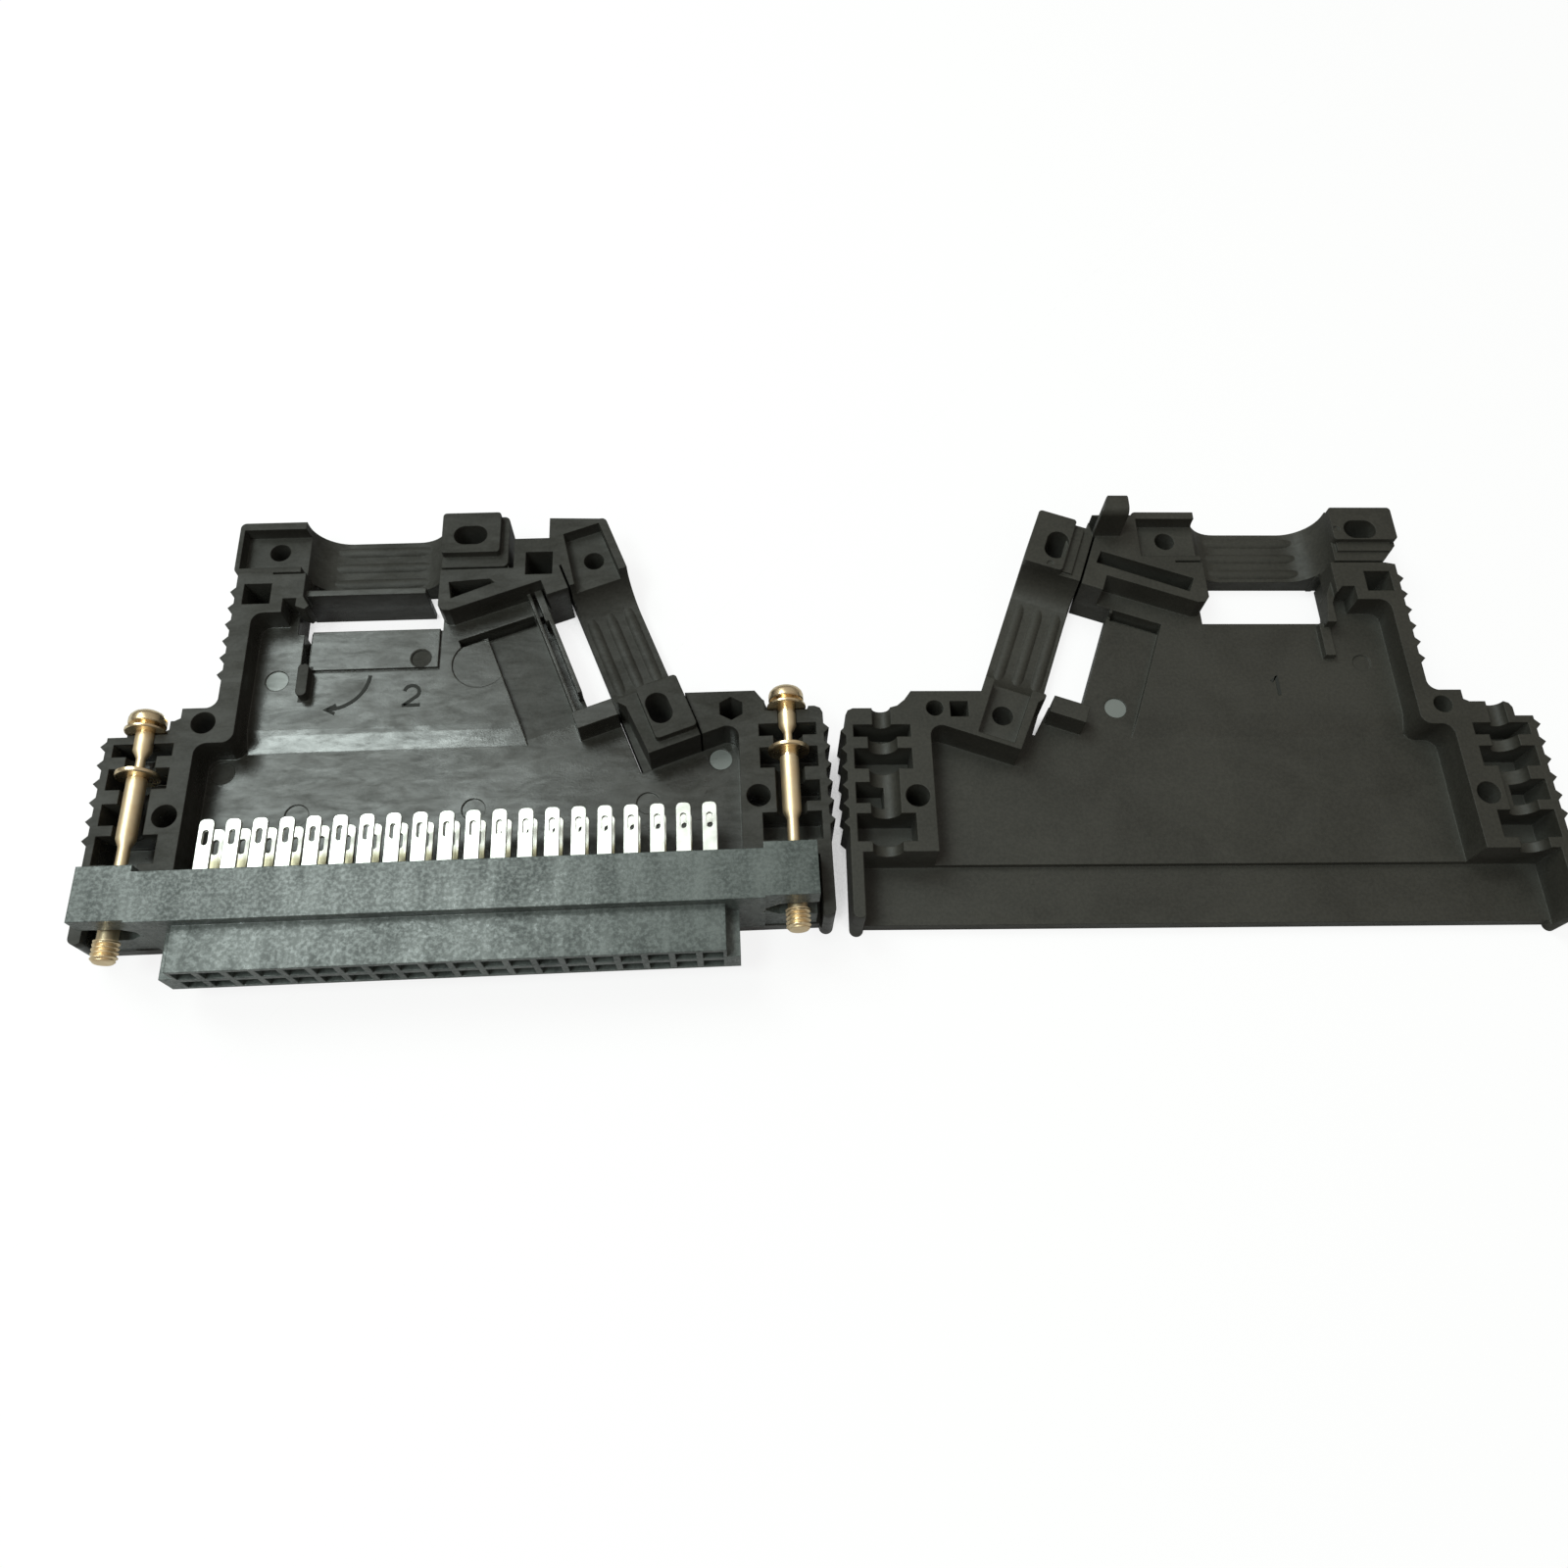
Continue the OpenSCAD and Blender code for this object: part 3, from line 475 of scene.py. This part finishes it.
def plated_brass():
    """Nickel-plated brass, turned: pale gold with turning lines round its axis."""
    mat, tree, shader = new_material("screw_plated_brass")
    at = coords(tree)
    y = axes(tree, at)[1]
    ring = tree.nodes.new("ShaderNodeTexNoise")
    ring.noise_dimensions = "1D"
    ring.inputs["Scale"].default_value = 9000.0
    ring.inputs["Detail"].default_value = 2.0
    tree.links.new(y, ring.inputs["W"])
    stain = remap(tree, noise(tree, at, scale=700.0, detail=3.0, rough=0.55), 0.38, 0.7)
    tree.links.new(mix_colour(tree, stain, BRASS_LIGHT, BRASS_STAINED), shader.inputs["Base Color"])
    shader.inputs["Metallic"].default_value = 1.0
    collar, head = [band(tree, y, start - DATUM_Y, end - DATUM_Y) for start, end in SHINY_Y]
    worn = remap(tree, stain, 0.0, 1.0, 0.42, 0.52)
    rough = minus(tree, worn, times(tree, most(tree, collar, head), 0.2))
    tree.links.new(rough, shader.inputs["Roughness"])
    tree.links.new(bump(tree, ring.outputs["Fac"], strength=0.12, depth=0.008), shader.inputs["Normal"])
    return mat


def dull_plastic(name, tone):
    mat, _, shader = new_material(name)
    shader.inputs["Base Color"].default_value = (*tone, 1.0)
    shader.inputs["Roughness"].default_value = 0.85
    return mat


def dress(node, material):
    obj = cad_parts[node]
    obj.data.materials.clear()
    obj.data.materials.append(material)


# Made pieces

def mesh_object(name, bm):
    """A new object in the scene from a finished mesh."""
    mesh = bpy.data.meshes.new(name)
    bm.to_mesh(mesh)
    bm.free()
    obj = bpy.data.objects.new(name, mesh)
    scene.collection.objects.link(obj)
    return obj


# Jackscrews with cut threads

def screw_profile():
    """Radius and Y of the turned part behind the thread, in millimetres."""
    waist_start, waist_end = WAIST_Y
    collar_start, collar_end = COLLAR_Y
    turned = [
        (SHANK_R, TIP_REAR),
        (SHANK_R, waist_start - TAPER),
        (WAIST_R, waist_start),
        (WAIST_R, waist_end),
        (SHANK_R, waist_end + TAPER),
        (SHANK_R, collar_start),
        (COLLAR_R - COLLAR_EDGE_R, collar_start),
        (COLLAR_R, collar_start + COLLAR_EDGE_Y),
        (COLLAR_R, collar_end - COLLAR_EDGE_Y),
        (COLLAR_R - COLLAR_EDGE_R, collar_end),
        (NECK_R, collar_end),
        (NECK_R, NECK_END),
        (UPPER_R, NECK_END + TAPER),
        (UPPER_R, HEAD_Y),
    ]
    head = [
        (HEAD_R - 0.1, 0.0), (HEAD_R, 0.08), (HEAD_R, 0.27), (HEAD_R - 0.1, 0.35),
        (HEAD_GROOVE_R, 0.36), (HEAD_GROOVE_R, 0.84),
        (DOME_R - 0.1, 0.85), (DOME_R, 0.95), (DOME_R, 1.5), (DOME_R - 0.1, 1.8),
        (DOME_R - 0.32, 2.08), (DOME_R - 0.65, 2.29), (DOME_R - 1.1, 2.4),
    ]
    return turned + [(radius, HEAD_Y + rise) for radius, rise in head]


def thread_radius(y, turn):
    """Radius of the thread at Y and at a share of a turn, with a chamfered end and a run-out."""
    phase = (y / THREAD_PITCH + turn) % 1.0
    crest = abs(2.0 * phase - 1.0)
    cut = THREAD_DEPTH * min(1.0, max(0.0, 1.15 - 1.4 * crest))
    cut *= min(1.0, max(0.0, (TIP_REAR - y) / THREAD_RUN_OUT))
    return min(TIP_R - cut, TIP_R - TIP_CHAMFER + (y - TIP_END) * TIP_CHAMFER_RISE)


def add_ring(bm, radii, y, x):
    ring = []
    for k, radius in enumerate(radii):
        angle = 2.0 * math.pi * k / SEGMENTS
        across = x + radius * math.cos(angle)
        height = PARTING_Z + radius * math.sin(angle)
        ring.append(bm.verts.new((across * MM, (y - DATUM_Y) * MM, height * MM)))
    return ring


def skin(bm, rings):
    """Side faces between neighbouring rings, and both ends."""
    for lower, upper in zip(rings, rings[1:]):
        for k in range(len(lower)):
            j = (k + 1) % len(lower)
            bm.faces.new((lower[k], lower[j], upper[j], upper[k]))
    bm.faces.new(list(reversed(rings[0])))
    bm.faces.new(rings[-1])


def slot_cutter(x, slide):
    bm = bmesh.new()
    bmesh.ops.create_cube(bm, size=1.0)
    place = Vector((x, HEAD_Y + SLOT_RISE + slide - DATUM_Y, PARTING_Z)) * MM
    size = Matrix.Diagonal((*(Vector(SLOT_SIZE) * MM), 1.0))
    bmesh.ops.transform(bm, matrix=Matrix.Translation(place) @ size, verts=bm.verts)
    return mesh_object("slot_cutter", bm)


def jackscrew(name, x, slide, material):
    bm = bmesh.new()
    shares = [k / SEGMENTS for k in range(SEGMENTS)]
    rings = []
    for row in range(THREAD_ROWS + 1):
        y = TIP_END + (TIP_REAR - TIP_END) * row / THREAD_ROWS
        rings.append(add_ring(bm, [thread_radius(y, share) for share in shares], y + slide, x))
    for radius, y in screw_profile():
        rings.append(add_ring(bm, [radius] * SEGMENTS, y + slide, x))
    skin(bm, rings)
    bmesh.ops.recalc_face_normals(bm, faces=bm.faces)
    obj = mesh_object(name, bm)
    cutter = slot_cutter(x, slide)
    slot = obj.modifiers.new("slot", "BOOLEAN")
    slot.operation = "DIFFERENCE"
    slot.solver = "EXACT"
    slot.object = cutter
    bpy.context.view_layer.objects.active = obj
    bpy.ops.object.modifier_apply(modifier="slot")
    bpy.data.objects.remove(cutter)
    obj.data.shade_smooth()
    obj.data.set_sharp_from_angle(angle=SMOOTH_ANGLE)
    obj.data.materials.clear()
    obj.data.materials.append(material)
    return obj


# Moulded signs: thin strokes that stand on the floors

def arc_points(x, y, radius, start, end, steps=18):
    angles = [math.radians(start + (end - start) * k / steps) for k in range(steps + 1)]
    return [(x + radius * math.cos(angle), y + radius * math.sin(angle)) for angle in angles]


def figure_two(x, y):
    bowl = arc_points(x, y + 0.55, 0.78, 170, -35) + [(x - 0.75, y - 1.0)]
    foot = [(x - 0.95, y - 1.02), (x + 0.95, y - 1.02)]
    return [bowl, foot]


def figure_one(x, y):
    return [[(x, y - 1.2), (x, y + 1.15), (x + 0.6, y + 0.5)]]


def curved_arrow(x, y):
    shaft = arc_points(x, y, 4.3, -4, -88)
    tip = [(x + 1.05, y - 3.75), (x - 0.1, y - 4.3), (x + 0.95, y - 4.75)]
    return [shaft, tip]


def stroke_sides(path, width):
    """Left and right edge points at each point of a path."""
    sides = []
    for k, (x, y) in enumerate(path):
        x0, y0 = path[max(0, k - 1)]
        x1, y1 = path[min(len(path) - 1, k + 1)]
        length = math.hypot(x1 - x0, y1 - y0)
        across_x = (y0 - y1) / length * width / 2
        across_y = (x1 - x0) / length * width / 2
        sides.append(((x + across_x, y + across_y), (x - across_x, y - across_y)))
    return sides


def sign(name, paths, place, floor_z, material):
    """Strokes as one mesh; place turns a plan point in millimetres into a point on the table in metres."""
    bm = bmesh.new()
    for path in paths:
        rings = []
        for left, right in stroke_sides(path, STROKE):
            ring = []
            corners = ((left, -SIGN_SINK), (right, -SIGN_SINK), (right, SIGN_RISE), (left, SIGN_RISE))
            for point, rise in corners:
                spot = place(*point)
                ring.append(bm.verts.new((spot.x, spot.y, (floor_z + rise) * MM)))
            rings.append(ring)
        skin(bm, rings)
    bmesh.ops.recalc_face_normals(bm, faces=bm.faces)
    obj = mesh_object(name, bm)
    obj.data.materials.append(material)
    return obj


# The part in its materials

base_mat = hood_plastic(
    "hood_base_plastic",
    dark=(0.0175, 0.0165, 0.0135),
    light=(0.0325, 0.031, 0.0265),
    floor_rough=0.26,
    ramp_rough=0.16,
    rim_rough=0.64,
    wave=0.14,
    grain_depth=0.2,
    shine_spread=0.15,
    highlight_marks=marks_on(base_point, BASE_HIGHLIGHT_MARKS),
    dull_marks=marks_on(base_point, BASE_DULL_MARKS),
    zones=dull_zones,
)
cover_mat = hood_plastic(
    "hood_cover_plastic",
    dark=(0.018, 0.017, 0.0132),
    light=(0.035, 0.0325, 0.0262),
    floor_rough=0.55,
    ramp_rough=0.50,
    rim_rough=0.58,
    wave=0.06,
    grain_depth=0.45,
    shine_spread=0.02,
    highlight_marks=marks_on(cover_point, COVER_HIGHLIGHT_MARKS),
    dull_marks=[],
)
insert_mat = insert_plastic()
upper_mat = tinned("contact_tin", (0.62, 0.62, 0.58), (0.78, 0.78, 0.75))
# The lower contacts' copy of the tin is painted lighter than the upper one, a painted highlight, and gets
# painted shade in front of its rear end
lower_lit_shaded_mat = tinned("contact_tin_painted_light_and_shade", (0.72, 0.71, 0.66), (0.86, 0.85, 0.80), shade=(0.44, 0.40, 0.28))
screw_mat = plated_brass()
sign_mat = dull_plastic("sign_plastic", SIGN_TONE)

dress("base_hood", base_mat)
dress("cover_hood", cover_mat)
dress("insert_body", insert_mat)
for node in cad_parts:
    if node.startswith("contact_upper"):
        dress(node, upper_mat)
    elif node.startswith("contact_lower"):
        dress(node, lower_lit_shaded_mat)
for side, x in (("left", -SCREW_X), ("right", SCREW_X)):
    dress("screw_" + side, screw_mat)
    piece = jackscrew("jackscrew_" + side, x, SLIDES[side], screw_mat)
    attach(piece, side + "_screw")
    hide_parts("screw_" + side)
for name, paths, place, slot in (
        ("sign_two", figure_two(*TWO_AT), base_point, "hood_base"),
        ("sign_arrow", curved_arrow(*ARROW_AT), base_point, "hood_base"),
        ("sign_one", figure_one(*ONE_AT), cover_point, "hood_cover")):
    piece = sign(name, paths, place, REAR_Z, sign_mat)
    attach(piece, "body")


# Floor, light and camera

def floor_material():
    """White to the camera with the part's shadow kept, shaded in narrow gaps, darker to the bounce."""
    mat = bpy.data.materials.new("floor_white")
    mat.use_nodes = True
    tree = mat.node_tree
    tree.nodes.clear()
    out = tree.nodes.new("ShaderNodeOutputMaterial")
    path = tree.nodes.new("ShaderNodeLightPath")
    nook = tree.nodes.new("ShaderNodeAmbientOcclusion")
    nook.samples = NOOK_SAMPLES
    nook.inputs["Distance"].default_value = NOOK_REACH
    glow = tree.nodes.new("ShaderNodeEmission")
    glow.inputs["Color"].default_value = (*WHITE, 1.0)
    tree.links.new(remap(tree, nook.outputs["AO"], 0.02, 0.16, 0.12, 1.0), glow.inputs["Strength"])

    def blend(factor, first, second):
        mix = tree.nodes.new("ShaderNodeMixShader")
        feed(tree, mix.inputs[0], factor)
        tree.links.new(first, mix.inputs[1])
        tree.links.new(second, mix.inputs[2])
        return mix.outputs[0]

    def matte(value):
        node = tree.nodes.new("ShaderNodeBsdfDiffuse")
        node.inputs["Color"].default_value = (value, value, value, 1.0)
        return node.outputs[0]

    glossy = times(tree, path.outputs["Is Glossy Ray"], FLOOR_MIRRORED)
    mirrored = blend(glossy, matte(FLOOR_BOUNCE), glow.outputs[0])
    seen = blend(FLOOR_GLOW, matte(FLOOR_SEEN), glow.outputs[0])
    tree.links.new(blend(path.outputs["Is Camera Ray"], mirrored, seen), out.inputs["Surface"])
    return mat


def add_floor():
    corners = [(-FLOOR_HALF, -FLOOR_HALF, 0), (FLOOR_HALF, -FLOOR_HALF, 0),
               (FLOOR_HALF, FLOOR_HALF, 0), (-FLOOR_HALF, FLOOR_HALF, 0)]
    mesh = bpy.data.meshes.new("floor")
    mesh.from_pydata(corners, [], [(0, 1, 2, 3)])
    mesh.materials.append(floor_material())
    obj = bpy.data.objects.new("floor", mesh)
    obj.location.z = -FLOOR_DROP
    scene.collection.objects.link(obj)
    return obj


def studio_world():
    """A warm room, brighter overhead, that the camera sees as white."""
    world = bpy.data.worlds.new("studio")
    world.use_nodes = True
    tree = world.node_tree
    tree.nodes.clear()
    out = tree.nodes.new("ShaderNodeOutputWorld")
    back = tree.nodes.new("ShaderNodeBackground")
    seen = tree.nodes.new("ShaderNodeLightPath").outputs["Is Camera Ray"]
    direction = tree.nodes.new("ShaderNodeTexCoord").outputs["Generated"]
    sky = remap(tree, axes(tree, direction)[2], 0.0, 0.9, *SKY_STRENGTH)
    tree.links.new(mix_colour(tree, seen, ROOM_TINT, WHITE), back.inputs["Color"])
    tree.links.new(most(tree, seen, sky), back.inputs["Strength"])
    tree.links.new(back.outputs[0], out.inputs["Surface"])
    return world


def area_light(name, place, target, width, depth, power):
    lamp = bpy.data.lights.new(name, "AREA")
    lamp.shape = "RECTANGLE"
    lamp.size = width
    lamp.size_y = depth
    lamp.energy = power
    lamp.color = LAMP_TINT
    obj = bpy.data.objects.new(name, lamp)
    obj.location = place
    obj.rotation_euler = (Vector(target) - Vector(place)).to_track_quat("-Z", "Y").to_euler()
    scene.collection.objects.link(obj)


def photo_camera():
    lift = LEVEL.cross(AHEAD)
    right = math.cos(ROLL) * LEVEL + math.sin(ROLL) * lift
    up = right.cross(AHEAD)
    data = bpy.data.cameras.new("photo_camera")
    data.sensor_fit = "HORIZONTAL"
    data.sensor_width = SENSOR
    data.lens = LENS
    data.clip_start = CLIP_START
    obj = bpy.data.objects.new("photo_camera", data)
    turn = Matrix((right, up, -AHEAD)).transposed()
    obj.matrix_world = Matrix.Translation(EYE) @ turn.to_4x4()
    scene.collection.objects.link(obj)
    return obj


floor = add_floor()
scene.world = studio_world()
area_light(
    "softbox_overhead", place=(-0.195, 0.21, 0.45), target=(0.0, 0.02, 0.0),
    width=0.20, depth=0.32, power=1.46)
area_light(
    "softbox_front", place=(-0.162, -0.10, 0.45), target=(0.0, 0.0, 0.0),
    width=0.17, depth=0.12, power=1.0)
scene.camera = photo_camera()
